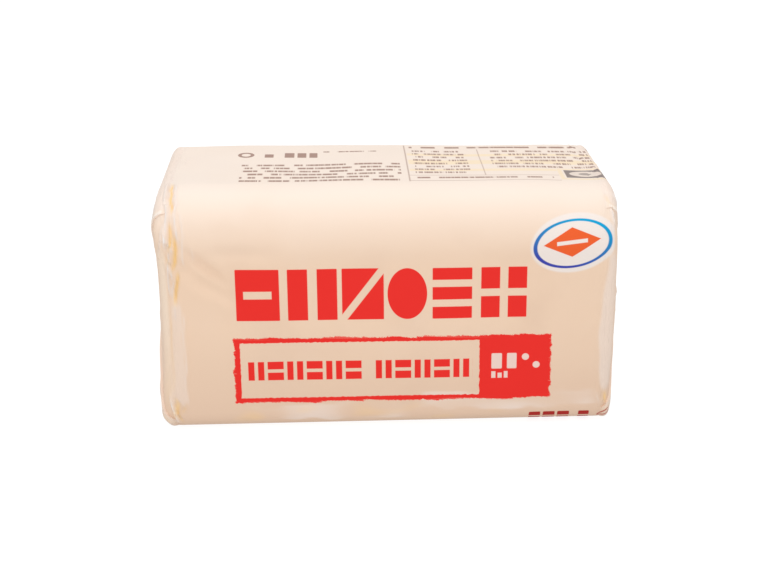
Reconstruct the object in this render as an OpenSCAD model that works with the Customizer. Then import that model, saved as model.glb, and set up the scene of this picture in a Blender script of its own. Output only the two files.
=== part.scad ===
// A wrapped block of butter: one soft brick with its wrapper folded flat over both ends and lapped underneath.
// X runs along the block, the front face looks along -Y, and the block rests on Z = 0.

/* [Overall] */
// Length over the fullest parts of the folded ends
pack_l = 112; // [80:1:160]
// Depth over the fullest parts of the front and the back
pack_d = 55; // [42:1:90]
// Height from the resting face to the fullest part of the top, at the taller left end
pack_h = 58; // [42:1:90]

/* [Edges] */
// Radius of the long edge between the top and the front
top_front_r = 14; // [4:0.5:18]
// Radius of the long edge between the top and the back
top_back_r = 6; // [3:0.5:18]
// Radius of the two long edges that meet the resting face
bottom_r = 4; // [2:0.5:12]
// Radius round the rim of each end
end_r = 3.5; // [2:0.5:8]

/* [Softness] */
// How far the top, the front and the back swell at their middles
face_swell = 0.4; // [0:0.1:2]
// How far each end swells out past its rim
end_swell = 1.6; // [0.2:0.1:4]
// Height of the fullest part of each end
end_swell_z = 38; // [15:1:60]
// Share of that swell that is lost at the resting face
end_swell_loss = 0.45; // [0:0.05:1]
// Depth of the soft unevenness of the front, the back and the top
unevenness = 0.15; // [0:0.05:0.5]
// How much lower the top lies at the right end than at the left end
top_fall = 1.4; // [0:0.1:4]

/* [Folded ends] */
// Thickness of one folded ply with the air held under it
ply = 0.35; // [0.2:0.1:1]
// How far past the start of the rim the folded plies begin
ply_start = 1.2; // [0.6:0.1:1.6]
// Width of each side tuck, measured from its vertical edge
tuck_w = 22; // [12:1:35]
// Length of the top flap, measured down the end
top_flap_l = 23; // [12:1:35]
// Length of the bottom flap, measured up the end
bottom_flap_l = 25; // [12:1:35]
// Angle between a flap's slanting edges and the edge it hangs from
flap_angle = 48; // [35:1:65]

/* [Underside lap] */
// Distance from the back edge to the edge of the lap
lap_w = 17; // [10:1:30]
// Depth of the step at the edge of the lap
lap_step = 0.3; // [0.1:0.1:1]
// Width of the soft crease beside that step
lap_crease_w = 0.8; // [0.4:0.1:2]

/* [Smoothness] */
// Segments in each rounded corner of the cross-section
arc_steps = 7; // [4:1:9]
// Segments along each flat side of the cross-section
side_steps = 6; // [3:1:8]
// Segments along the length between the rounded rims
length_steps = 14; // [6:1:18]
// Rings in each rounded rim
rim_steps = 5; // [3:1:6]
// Rings across each end face
cap_steps = 6; // [3:1:8]

/* [Hidden] */

wrapper_colour = [0.96, 0.89, 0.80];
// The block inside its swell and its plies
half_l = pack_l / 2 - end_swell - 2 * ply;
half_d = pack_d / 2 - face_swell;
block_h = pack_h - face_swell;
rim_x = half_l - end_r;
sharpest_r = 0.4;
// Keeps the top's crown away from the lower walls
crown_power = 6;
// Above one, crowds the end rings towards the rim
cap_spacing = 1.3;
reach = pack_l + pack_d + pack_h;

// Full at the middle of a face and nothing at its edges, with t from -1 to 1
function bump(t) = 1 - pow(min(abs(t), 1), 4);

// The points of a quarter circle of radius r about [cy, cz] that starts at angle a
function corner(cy, cz, r, a) =
    [for (i = [0:arc_steps]) [cy + r * cos(a + 90 * i / arc_steps), cz + r * sin(a + 90 * i / arc_steps)]];

// The points strictly between p and q
function between(p, q) = [for (i = [1:side_steps - 1]) p + (q - p) * i / side_steps];

// A list of corners with the flat sides between them filled in, as one closed outline
function with_sides(corners) =
    [for (i = [0:3]) each concat(corners[i], between(corners[i][arc_steps], corners[(i + 1) % 4][0]))];

// The cross-section's outline pulled in by inset, as [y, z] points from the back face over the top
function outline(inset) =
    let (back = half_d - inset, top = block_h - inset,
         tb = max(top_back_r - inset, sharpest_r), tf = max(top_front_r - inset, sharpest_r),
         b = max(bottom_r - inset, sharpest_r))
    with_sides([
        corner(back - tb, top - tb, tb, 0),
        corner(tf - back, top - tf, tf, 90),
        corner(b - back, inset + b, b, 180),
        corner(back - b, inset + b, b, 270)
    ]);

// Slow waves that keep the long faces from being dead flat
function waves(x, t) = unevenness * (sin(x * 4.1 + t * 2.3 + 20) + sin(x * 2.3 - t * 5.2 + 75));

// Height at x as a share of the height at the left end, because the top falls towards the right
function share(x) = 1 - top_fall / pack_h * (x / pack_l + 0.5);

// A ring round the block at x, swollen on its front, back and top but flat where it rests
function body_ring(x) =
    [for (p = outline(0))
        let (across = p[0] / half_d, up = p[1] / block_h, along = bump(x / rim_x),
             side = along * bump(2 * up - 1), crown = along * bump(across) * pow(up, crown_power))
        [x,
         p[0] + across * side * (face_swell + waves(x, p[1])),
         p[1] + crown * (face_swell + waves(x, p[0]))]];

// Rings of one rounded rim, with the end pushed out by lift
function rim_rings(lift) =
    [for (i = [0:rim_steps]) let (a = 90 * i / rim_steps)
        [for (p = outline(end_r * (1 - cos(a)))) [rim_x + lift + end_r * sin(a), p[0], p[1]]]];

// How full the end is at height z: one at end_swell_z, and less above and below it
function fullness(z) = 1 - end_swell_loss * pow(min(abs(z - end_swell_z) / end_swell_z, 1), 2);

// Rings that close one end, shrinking towards its middle as they rise to the fullest part
function cap_rings(lift) =
    [for (i = [1:cap_steps - 1])
        let (s = 1 - pow(i / cap_steps, cap_spacing), mid = [0, block_h / 2])
        [for (p = outline(end_r))
            let (q = mid + (p - mid) * s)
            [half_l + lift + end_swell * bump(s) * fullness(q[1]), q[0], q[1]]]];

// The right half's rings from the middle of the block to the end, with the end pushed out by lift
function end_rings(lift) = concat(rim_rings(lift), cap_rings(lift));

// The same rings turned to the left end, in order from its cap inwards
function mirrored(rings) = [for (i = [len(rings) - 1:-1:0]) [for (p = rings[i]) [-p[0], p[1], p[2]]]];

// The whole block, with both ends pushed out by lift
module soft_brick(lift) {
    right = end_rings(lift);
    body = [for (i = [0:length_steps]) body_ring(rim_x * (2 * i / length_steps - 1))];
    rings = concat(mirrored(right), body, right);
    n = len(rings[0]);
    last = len(rings) - 1;
    peak = half_l + lift + end_swell * fullness(block_h / 2);
    level = concat([for (r = rings) each r], [[-peak, 0, block_h / 2], [peak, 0, block_h / 2]]);
    points = [for (p = level) [p[0], p[1], p[2] * share(p[0])]];
    walls = [for (k = [0:last - 1], j = [0:n - 1])
        let (a = k * n + j, b = k * n + (j + 1) % n)
        each [[b, a, a + n], [b + n, b, a + n]]];
    left_cap = [for (j = [0:n - 1]) [j, (j + 1) % n, n * (last + 1)]];
    right_cap = [for (j = [0:n - 1]) [last * n + (j + 1) % n, last * n + j, n * (last + 1) + 1]];
    polyhedron(points, concat(walls, left_cap, right_cap));
}

// Both ends' share of soft_brick(lift) that lies inside a [y, z] outline given as children
module end_plies(lift) {
    intersection() {
        soft_brick(lift);
        for (side = [0, 1]) mirror([side, 0, 0])
            translate([rim_x + ply_start, 0, 0]) scale([1, 1, share(half_l * (1 - 2 * side))])
                rotate([90, 0, 90]) linear_extrude(reach) children();
    }
}

// The front and back walls turned in over the end
module side_tucks() {
    end_plies(ply)
        for (side = [0, 1]) mirror([side, 0]) translate([half_d - tuck_w, -ply]) square([tuck_w + ply, reach]);
}

// A flap that hangs from the line y = 0 of its own outline and narrows away from it
module flap_outline(length) {
    intersection() {
        translate([-half_d - ply, -ply]) square([2 * (half_d + ply), length + ply]);
        polygon([for (p = [[-1, 0], [1, 0], [0, 1]])
            let (w = half_d + ply) [p[0] * w, p[1] * w * tan(flap_angle) - ply * tan(flap_angle)]]);
    }
}

// The top wall turned down over the tucks
module top_flaps() {
    end_plies(2 * ply) translate([0, block_h]) mirror([0, 1]) flap_outline(top_flap_l);
}

// The bottom wall turned up last
module bottom_flaps() {
    end_plies(3 * ply) flap_outline(bottom_flap_l);
}

// The crease along the edge of the lap on the resting face
module lap_crease() {
    translate([-reach / 2, half_d - lap_w, -lap_step]) cube([reach, lap_crease_w, 2 * lap_step]);
}

// The block and its plies, brought to the overall size exactly
module wrapped_block() {
    color(wrapper_colour) resize([pack_l, pack_d, pack_h]) difference() {
        union() {
            soft_brick(0);
            side_tucks();
            top_flaps();
            bottom_flaps();
        }
        lap_crease();
    }
}

wrapped_block();
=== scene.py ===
"""A wrapped block of butter: the soft brick, its folded ends, its lapped underside and its print.

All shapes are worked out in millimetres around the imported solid's own box and written to the meshes in metres.
"""
from __future__ import annotations

import functools
import logging
import math
from dataclasses import dataclass, field
from enum import Enum
from typing import Callable, Sequence

import bmesh
import bpy
import numpy as np
from mathutils import Matrix, Vector

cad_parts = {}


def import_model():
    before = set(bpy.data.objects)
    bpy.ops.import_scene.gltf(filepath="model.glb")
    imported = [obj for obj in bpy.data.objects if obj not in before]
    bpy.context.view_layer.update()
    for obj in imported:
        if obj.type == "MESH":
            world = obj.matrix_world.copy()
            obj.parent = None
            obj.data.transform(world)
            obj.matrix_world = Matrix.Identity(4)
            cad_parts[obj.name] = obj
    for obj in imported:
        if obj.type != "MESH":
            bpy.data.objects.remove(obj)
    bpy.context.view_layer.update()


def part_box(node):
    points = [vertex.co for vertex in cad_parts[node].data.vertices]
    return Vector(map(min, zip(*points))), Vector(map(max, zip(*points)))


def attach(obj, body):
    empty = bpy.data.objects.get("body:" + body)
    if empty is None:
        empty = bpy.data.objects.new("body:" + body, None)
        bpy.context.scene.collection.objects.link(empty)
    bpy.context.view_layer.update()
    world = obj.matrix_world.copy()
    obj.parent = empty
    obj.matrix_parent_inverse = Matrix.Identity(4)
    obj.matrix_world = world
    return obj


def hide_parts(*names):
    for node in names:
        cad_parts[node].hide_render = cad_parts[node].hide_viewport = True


MM = 0.001
NODE = "wrapped_block"
BODY = "root"

log = logging.getLogger("butter")

Colour = tuple[float, float, float]
Place = tuple[float, float]
Crinkle = tuple[Place, Place, float, float]


def smooth(low: float, high: float, value: np.ndarray) -> np.ndarray:
    """A smooth step from 0 at low to 1 at high.

    Args:
        low: Where the step starts.
        high: Where it ends, which may be below low.
        value: The values to step.

    Returns:
        The stepped values.
    """
    share = np.clip((value - low) / (high - low), 0.0, 1.0)
    return share * share * (3.0 - 2.0 * share)


def window(low: float, high: float, soft: float, value: np.ndarray) -> np.ndarray:
    """One between low and high, falling to nothing over soft on either side."""
    return smooth(low - soft, low + soft, value) * smooth(high + soft, high - soft, value)


def hill(centre: float | np.ndarray, width: float, value: np.ndarray) -> np.ndarray:
    """A round hill of height one about centre."""
    return np.exp(-(((value - centre) / width) ** 2))


def ripple(a: np.ndarray, b: np.ndarray, scale: float, seed: float) -> np.ndarray:
    """Slow uneven waves over two coordinates.

    Args:
        a: First coordinate in millimetres.
        b: Second coordinate in millimetres.
        scale: Rough distance between crests in millimetres.
        seed: Any number, to tell one set of waves from another.

    Returns:
        Values from about -1 to 1.
    """
    k = 2 * math.pi / scale
    total = np.zeros_like(a)
    for turn in range(4):
        angle = seed * 1.7 + turn * 2.4
        pitch = k * (0.7 + 0.23 * turn)
        total += np.sin(pitch * (a * math.cos(angle) + b * math.sin(angle)) + seed * 3.1 + turn)
    return total / 2.4


class End(Enum):
    """The two ends of the block, with the sign of their X."""

    LEFT = -1
    RIGHT = 1


@dataclass
class Surface:
    """Where each vertex of the block lies on its wrapper, in millimetres.

    Attributes:
        along: Distance along the wrapper from the block's middle, signed like X, past the rim too.
        around: Distance round the wrapper from the foot of the front face, up and over to the back.
        inward: Distance in from the rim's outline across an end, zero on the long walls.
        cube: Each vertex on a cube from -1 to 1.
    """

    along: np.ndarray
    around: np.ndarray
    inward: np.ndarray
    cube: np.ndarray


@dataclass
class SoftBrick:
    """The block's wrapper as one closed skin, shaped like the solid that it stands for."""

    low: Vector
    high: Vector
    top_front_r: float = 14.0
    top_back_r: float = 6.0
    bottom_r: float = 4.0
    end_r: float = 3.5
    face_swell: float = 0.4
    end_swell: float = 1.6
    ply: float = 0.35
    top_fall: float = 1.4
    cuts: tuple[int, int, int] = (169, 75, 79)
    crowding: float = 0.55
    half_l: float = field(init=False)
    half_d: float = field(init=False)
    height: float = field(init=False)

    def __post_init__(self) -> None:
        """Work out the block inside its swell and plies from the box that it fills."""
        self.half_l = (self.high.x - self.low.x) / MM / 2 - self.end_swell - 2 * self.ply
        self.half_d = (self.high.y - self.low.y) / MM / 2 - self.face_swell
        self.height = (self.high.z - self.low.z) / MM - self.face_swell

    @property
    def rim_x(self) -> float:
        """Where the rounding of the ends starts."""
        return self.half_l - self.end_r

    @property
    def arc(self) -> float:
        """Length of the quarter circle round a rim."""
        return math.pi / 2 * self.end_r

    @property
    def top_start(self) -> float:
        """Distance round the wrapper at which the flat of the top begins."""
        return self.height - self.top_front_r + math.pi / 2 * self.top_front_r

    def skin(self) -> bmesh.types.BMesh:
        """Cut a cube into the grid that the skin is shaped from."""
        bm = bmesh.new()
        bmesh.ops.create_cube(bm, size=2.0)
        for axis, cuts in enumerate(self.cuts):
            edges = [e for e in bm.edges if abs((e.verts[0].co - e.verts[1].co)[axis]) > 1.0]
            bmesh.ops.subdivide_edges(bm, edges=edges, cuts=cuts, use_grid_fill=True)
        return bm

    def corner_radius(self, side: np.ndarray, up: np.ndarray, inset: np.ndarray) -> np.ndarray:
        """Radius of the cross-section's corner in each vertex's quarter, less the inset."""
        top = np.where(side < 0, self.top_front_r, self.top_back_r)
        return np.maximum(np.where(up > 0, top, self.bottom_r) - inset, 0.4)

    def outline(self, side: np.ndarray, up: np.ndarray, inset: np.ndarray) -> tuple[np.ndarray, np.ndarray]:
        """Carry points on the edge of a square to the rounded cross-section.

        Args:
            side: Place across the square from -1 at the front to 1 at the back.
            up: Place up the square from -1 to 1.
            inset: How far the outline is pulled in.

        Returns:
            Y, and Z from the middle of the height.
        """
        wide, high = self.half_d - inset, self.height / 2 - inset
        y, z = side * wide, up * high
        radius = self.corner_radius(side, up, inset)
        core_y = np.clip(y, radius - wide, wide - radius)
        core_z = np.clip(z, radius - high, high - radius)
        out_y, out_z = y - core_y, z - core_z
        reach = np.maximum(np.hypot(out_y, out_z), 1e-9)
        return core_y + out_y / reach * radius, core_z + out_z / reach * radius

    def measure_around(self, side: np.ndarray, up: np.ndarray, under: np.ndarray) -> np.ndarray:
        """Distance round the wrapper of each point of the square's edge.

        Args:
            side: Place across the square.
            up: Place up the square.
            under: True where the point belongs to the underside.

        Returns:
            Distances that grow up the front, back over the top and down the back, and fall under the block.
        """
        none = np.zeros_like(side)
        y, z = side * self.half_d, (up + 1) * self.height / 2
        radius = self.corner_radius(side, up, none)
        # How far each point is into a corner, as an angle from the upright wall
        dy = np.maximum(radius - (self.half_d - np.abs(y)), 0.0)
        dz = np.maximum(radius - np.where(up > 0, self.height - z, z), 0.0)
        turn = np.where(dy >= dz, np.arctan2(dz, np.maximum(dy, 1e-9)),
                        math.pi / 2 - np.arctan2(dy, np.maximum(dz, 1e-9)))
        on_wall = np.abs(side) >= np.abs(up)
        front = np.where(dz > 0, np.where(up > 0, self.height - radius + radius * turn, radius - radius * turn), z)
        flat = self.top_start + (y + self.half_d - self.top_front_r)
        arc_start = self.height - self.top_front_r
        over = np.where((dy > 0) & (side < 0), arc_start + self.top_front_r * turn, flat)
        back_start = self.top_start + 2 * self.half_d - self.top_front_r - self.top_back_r
        over = np.where((dy > 0) & (side > 0), back_start + self.top_back_r * (math.pi / 2 - turn), over)
        back_end = back_start + math.pi / 2 * self.top_back_r
        down = back_end + (self.height - self.top_back_r - z)
        down = np.where((dz > 0) & (up > 0), back_start + self.top_back_r * (math.pi / 2 - turn), down)
        foot = back_end + self.height - self.top_back_r - self.bottom_r
        down = np.where((dz > 0) & (up < 0), foot + self.bottom_r * turn, down)
        start = self.bottom_r * (1 - math.pi / 2)
        below = start - (y + self.half_d - self.bottom_r)
        below = np.where((dy > 0) & (side < 0), self.bottom_r - self.bottom_r * turn, below)
        below = np.where((dy > 0) & (side > 0),
                         start - (2 * self.half_d - 2 * self.bottom_r) - self.bottom_r * (math.pi / 2 - turn), below)
        wall = np.where(side < 0, front, down)
        return np.where(under, below, np.where(on_wall, wall, over))

    def place(self, cube: np.ndarray) -> tuple[np.ndarray, Surface]:
        """Shape the cut cube into the soft brick.

        Args:
            cube: Vertices on the cube.

        Returns:
            Their places in millimetres, and where they lie on the wrapper.
        """
        spread = (1 - self.crowding) * cube + self.crowding * np.sin(cube * math.pi / 2)
        cx, cy, cz = spread[:, 0], cube[:, 1], cube[:, 2]
        ring = np.maximum(np.maximum(np.abs(cy), np.abs(cz)), 1e-9)
        side, up = cy / ring, cz / ring
        across = self.half_d - self.end_r
        wall_end = self.rim_x + self.arc / 2
        a = np.where(ring < 1 - 1e-6, wall_end + (1 - ring) * (across + self.arc / 2), np.abs(cx) * wall_end)
        turn = np.clip((a - self.rim_x) / self.end_r, 0, math.pi / 2)
        inward = np.maximum(a - self.rim_x - self.arc, 0.0)
        shrink = 1 - inward / across
        sign = np.sign(cx)
        x = sign * np.where(a > self.rim_x, self.rim_x + self.end_r * np.sin(turn), a)
        y, z = self.outline(side, up, self.end_r * (1 - np.cos(turn)))
        under = (up < 0) & (np.abs(up) > np.abs(side))
        around = self.measure_around(side, up, under)
        points = np.stack([x, y * shrink, self.height / 2 + z * shrink], axis=1)
        return points, Surface(sign * a, around, inward, cube)


@dataclass(frozen=True)
class Crease:
    """A fine ridge or valley that runs round the wrapper near a rim.

    Attributes:
        knots: Places on it as (distance round the wrapper, distance along it).
        height: How far it stands up, or sinks if negative, in millimetres.
        width: Its half width.
        yellow: How much butter shows through it.
        air: How much it stands off the butter; at its highest it also brings in the painted highlight of the glint ink.
    """

    knots: tuple[tuple[float, float], ...]
    height: float
    width: float
    yellow: float = 0.0
    air: float = 0.0

    def profile(self, around: np.ndarray, along: np.ndarray) -> np.ndarray:
        """How strongly the crease shows at each vertex, from 0 to 1."""
        knots = sorted(self.knots)
        rounds = np.array([k[0] for k in knots])
        path = np.interp(around, rounds, np.array([k[1] for k in knots]))
        fade = min(1.6, (rounds[-1] - rounds[0]) / 3)
        reach = window(rounds[0] + fade, rounds[-1] - fade, fade, around)
        return hill(path, self.width, along) * reach


@dataclass
class Wrapper:
    """The printed wrapper over the block, as one closed skin with its creases and slack places."""

    brick: SoftBrick
    seed: int = 7
    crease_gain: float = 1.7
    left_front: tuple[Crease, ...] = (
        Crease(((66.5, 50.9), (64.0, 50.4), (62.0, 50.6), (60.2, 50.2), (58.2, 50.5), (55.7, 49.9), (53.4, 50.1)),
               -0.42, 0.25, yellow=1.0),
        Crease(((52.8, 50.4), (49.0, 50.2), (46.7, 50.4), (44.4, 50.9)), -0.40, 0.25, yellow=1.0),
        Crease(((49.8, 49.6), (45.7, 49.2), (42.5, 49.5), (39.4, 50.5)), -0.38, 0.40, yellow=1.0),
        Crease(((41.2, 49.0), (38.5, 49.0), (35.5, 49.6), (31.0, 50.2)), -0.36, 0.34, yellow=0.95),
        Crease(((66.0, 51.7), (62.0, 51.4), (58.0, 51.5), (55.0, 51.0), (50.0, 51.2), (44.5, 51.7)),
               0.50, 0.34, air=1.0),
        Crease(((66.0, 49.8), (62.0, 49.2), (60.0, 49.5), (57.0, 49.0), (54.0, 49.5), (50.0, 49.0), (46.0, 48.3)),
               0.34, 0.28, air=1.0),
        Crease(((56.0, 48.2), (52.0, 47.8), (49.0, 47.4), (44.0, 47.8), (40.0, 47.2)), 0.18, 0.30, air=0.62),
        Crease(((48.0, 46.0), (44.0, 45.2), (41.0, 45.7)), 0.12, 0.40, air=0.4),
        Crease(((50.5, 51.6), (47.5, 51.0), (45.5, 50.2), (43.5, 48.9)), 0.42, 0.30, air=1.0),
        Crease(((45.0, 51.8), (42.5, 50.9), (40.5, 49.6)), -0.34, 0.30, yellow=0.5),
        Crease(((43.5, 50.0), (41.5, 50.7), (39.0, 50.3), (37.0, 50.9)), 0.40, 0.28, air=1.0),
        Crease(((47.0, 50.3), (42.0, 51.1), (38.0, 51.2), (33.0, 50.8)), 0.34, 0.30, air=0.9),
        Crease(((40.0, 49.3), (36.0, 50.3), (31.0, 50.0), (26.0, 50.3)), 0.22, 0.30, air=0.8),
        Crease(((30.0, 51.2), (22.0, 51.6), (14.0, 51.2), (8.0, 51.9)), -0.16, 0.45, yellow=0.15),
        Crease(((31.0, 48.0), (24.0, 48.4), (16.0, 48.1), (9.0, 49.0)), 0.12, 0.34, air=0.6),
        Crease(((10.8, 50.9), (8.0, 49.9), (4.6, 48.0)), 0.32, 0.32, air=0.7),
        Crease(((9.4, 51.6), (7.4, 50.6), (5.0, 50.9), (2.4, 51.5)), -0.30, 0.55, yellow=0.65),
        Crease(((7.4, 48.2), (5.8, 49.0), (3.4, 50.4)), -0.22, 0.40, yellow=0.40),
        Crease(((53.0, 51.5), (48.5, 52.1), (44.5, 53.1), (41.0, 54.4)), 0.30, 0.32, air=0.8),
        Crease(((10.0, 52.4), (4.0, 51.3), (0.5, 50.2)), 0.36, 0.30, air=1.0),
        Crease(((6.8, 51.8), (3.6, 50.4), (1.0, 49.2)), -0.30, 0.25, yellow=0.75),
        Crease(((8.6, 50.2), (6.4, 50.7), (4.0, 51.6)), 0.24, 0.26, air=0.9),
    )
    right_front: tuple[Crease, ...] = (
        Crease(((59.4, 51.0), (57.0, 51.8), (53.6, 53.0)), -0.30, 0.40, yellow=1.0),
        Crease(((58.5, 51.6), (54.5, 52.2), (49.0, 53.0)), 0.34, 0.32, air=1.0),
        Crease(((61.0, 50.6), (58.0, 51.3), (56.0, 52.4)), 0.26, 0.30, air=0.9),
        Crease(((8.4, 51.7), (5.8, 52.3), (2.8, 52.9)), -0.16, 0.55, yellow=0.80),
        Crease(((27.0, 50.0), (24.0, 50.8), (22.5, 51.6)), 0.14, 0.28, air=0.5),
        Crease(((9.5, 49.2), (6.0, 50.2), (3.0, 51.2)), 0.12, 0.36, air=0.5),
        Crease(((4.6, 53.4), (2.6, 52.4), (0.8, 51.4)), 0.16, 0.34, air=0.7),
    )

    def random_creases(self, top: float, foot: float, count: int, shift: int,
                       plain: bool = False) -> tuple[Crease, ...]:
        """Creases for an upright edge whose own are not laid down by hand.

        Args:
            top: Distance round the wrapper at the upper end of the edge.
            foot: Distance round it at the lower end.
            count: How many creases.
            shift: Added to the seed.
            plain: True for shallow ones through which no butter shows.

        Returns:
            The creases.
        """
        rng = np.random.default_rng(self.seed + shift)
        made = []
        for _ in range(count):
            middle = foot + (top - foot) * rng.uniform(0.05, 0.95)
            half = abs(top - foot) * rng.uniform(0.06, 0.2)
            at = self.brick.rim_x + rng.uniform(-1.6, 2.4)
            lean = rng.uniform(-0.9, 0.9)
            knots = tuple((middle + half * k, at + lean * k + rng.uniform(-0.2, 0.2)) for k in (-1, -0.3, 0.4, 1))
            raised = rng.uniform() < 0.5
            yellow = 0.0 if raised or plain else rng.uniform(0.2, 0.7)
            height = (0.3 if raised else -0.25) * (0.5 if plain else 1.0)
            made.append(Crease(knots, height, rng.uniform(0.26, 0.42), yellow=yellow, air=0.8 if raised else 0.0))
        return tuple(made)

    def relief(self, points: np.ndarray, on: Surface) -> tuple[np.ndarray, np.ndarray, np.ndarray, np.ndarray]:
        """How far each vertex stands off the plain brick, and what shows there.

        Args:
            points: Vertices of the plain brick in millimetres.
            on: Where they lie on the wrapper.

        Returns:
            The relief in millimetres, then the shares of air under the wrapper (over the top also painted light), of
            pearly slack (at its strongest a painted highlight) and of yellow crease.
        """
        b = self.brick
        along, around = np.abs(on.along), on.around
        left, front = on.along < 0, (points[:, 1] < 0)
        y, z = points[:, 1], points[:, 2]
        resting = smooth(3.0, 0.6, z) * (on.around < 3.0)
        lift = 0.16 * ripple(on.along, around, 46, 1.0) + 0.07 * ripple(on.along, around, 19, 2.0)
        lift *= window(-b.rim_x + 2, b.rim_x - 2, 3.0, on.along)
        # Swell of the long walls
        middle = 1 - np.clip(np.abs(on.along) / b.rim_x, 0, 1) ** 4
        wall_share = 1 - np.clip(np.abs(2 * z / b.height - 1), 0, 1) ** 4
        flat_share = 1 - np.clip(np.abs(y) / b.half_d, 0, 1) ** 4
        lift += b.face_swell * middle * np.where(np.abs(on.cube[:, 2]) > 0.999, flat_share, wall_share)
        # Soft slanting dents beside the crumpled edge
        dent = hill(45.0 - 0.78 * (47.5 - along), 1.6, around) * window(38, 46.5, 3.0, along)
        dent2 = hill(39.5 - 0.55 * (47.5 - along), 1.9, around) * window(36, 46, 3.0, along)
        shallow = hill(44.4, 1.5, around) * window(29, 41, 4.0, along)
        hollow = hill(41.0, 1.8, around) * hill(47.2, 2.2, along)
        lift -= np.where(left & front, 1.05 * dent + 0.75 * dent2 + 0.42 * shallow + 0.60 * hollow, 0.0)
        # Swell of the ends
        cap = np.clip(on.inward / (b.half_d - b.end_r), 0, 1)
        swell = b.end_swell * (1 - (1 - cap) ** 4) * (1 - 0.45 * np.clip(np.abs(z - 38) / 38, 0, 1) ** 2)
        lift += swell + 0.18 * ripple(y, z, 17, 3.0) * smooth(1.0, 6.0, on.inward)
        past = smooth(b.rim_x - 2.0, b.rim_x + 4.0, along)
        fore = smooth(16.0, -16.0, y)
        left_out = np.interp(z, (0, 4, 9, 15, 24, 39, 43, 49, 53, 57),
                             (0.2, 0.5, 0.45, 0.0, -0.28, -0.20, 0.15, 0.75, 0.35, -0.1))
        right_out = np.interp(z, (0, 4, 9, 20, 40, 52, 57), (-0.75, -0.55, -0.45, 0.05, 0.15, 0.05, 0.4))
        lift += np.where(left, left_out, right_out) * past * fore
        air = 0.3 * smooth(3.0, 8.0, on.inward)
        pearl = np.zeros_like(lift)
        yellow = np.zeros_like(lift)
        edges = [
            (left & front, self.left_front),
            (~left & front, self.right_front),
            (left & ~front, self.random_creases(108, 158, 12, 2)),
            (~left & ~front, self.random_creases(108, 158, 12, 3)),
            (left, self.random_creases(68, 100, 6, 4, plain=True)),
            (~left, self.random_creases(68, 100, 6, 5, plain=True)),
        ]
        for where, creases in edges:
            for crease in creases:
                shows = np.where(where, crease.profile(around, along), 0.0)
                lift += self.crease_gain * crease.height * shows
                pearl = np.maximum(pearl, crease.air * shows)
                yellow = np.maximum(yellow, crease.yellow * shows)
        # A slack band beside each upright edge, with a wavy outline
        wave = 0.6 * ripple(around, along, 11, 4.0)
        inner = np.interp(around, (6, 13, 20, 25, 31), (47.8, 48.3, 48.5, 48.8, 48.4)) + 0.4 * wave
        outer = np.interp(around, (6, 13, 20, 31), (52.3, 51.9, 51.6, 51.0))
        band = smooth(inner - 0.35, inner + 0.35, along) * smooth(outer + 0.5, outer - 0.5, along)
        band *= window(6.5, 32.5, 1.5, around)
        pearl = np.maximum(pearl, np.where(left & front, 0.46 * band, 0.0))
        lift += np.where(left & front, 0.12 * band, 0.0)
        right_start = np.interp(around, (7, 10, 14, 17, 24, 33, 42), (51.7, 50.7, 50.1, 50.1, 49.8, 50.6, 51.5))
        right_band = smooth(right_start - 0.7, right_start + 0.7, along + 0.4 * wave)
        right_band *= window(7.5, 44.0, 2.0, around)
        pearl = np.maximum(pearl, np.where(~left & front, 0.68 * right_band, 0.0))
        back_band = smooth(48.6, 49.6, along + 2 * wave) * window(112, 152, 4.0, around)
        pearl = np.maximum(pearl, np.where(~front, 0.50 * back_band, 0.0))
        # The film stands off the butter over the top and at the rims that the flaps hang from; the top's paler colour
        # is also painted light from above
        top = smooth(b.top_start - 27.0, b.top_start - 1.0, around) * smooth(122.0, 106.0, around)
        near_rim = smooth(8.0, 3.0, on.inward)
        air = np.maximum(air, 0.92 * top * near_rim)
        rim = smooth(50.4, 51.2, along) * window(55.5, 104.0, 1.0, around) * near_rim
        pearl = np.maximum(pearl, 0.8 * rim)
        outer_strip = smooth(51.2, 52.2, along) * window(6.0, 46.0, 3.0, around) * near_rim
        air = np.maximum(air, np.where(left & front, 0.70 * outer_strip, 0.0))
        yellow = np.maximum(yellow, np.where(left & front, 0.14 * outer_strip, 0.0))
        # Pockets of air along the foot of the front and the back
        foot = np.where(on.along < 5, window(2.0, 6.2, 0.5, around + wave),
                        window(4.3, 8.6, 0.5, around + wave))
        stretch = np.where(on.along < 5, window(-33, 3, 4, on.along), window(7, 50, 3, on.along))
        patchy = 0.55 + 0.45 * ripple(on.along, 2 * on.around, 21, 6.0)
        pearl = np.maximum(pearl, np.where(front, 0.80 * foot * stretch * np.clip(patchy, 0.15, 1), 0.0))
        butter = np.clip(ripple(on.along, 2 * on.around, 13, 8.0) - 0.15, 0, 1) * window(1.8, 5.6, 1.2, around)
        yellow = np.maximum(yellow, np.where(front, 0.30 * butter * window(-36, 24, 6, on.along), 0.0))
        under = points[:, 2] < 0.6
        recess = smooth(b.half_d - 2.0, b.half_d - 5.0, np.abs(y)) * smooth(b.rim_x + 1.0, b.rim_x - 1.5, along) * under
        shares = (np.clip(share, 0, 1) for share in (air, pearl, yellow))
        return (lift * (1 - resting) - 0.30 * recess, *shares)

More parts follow.
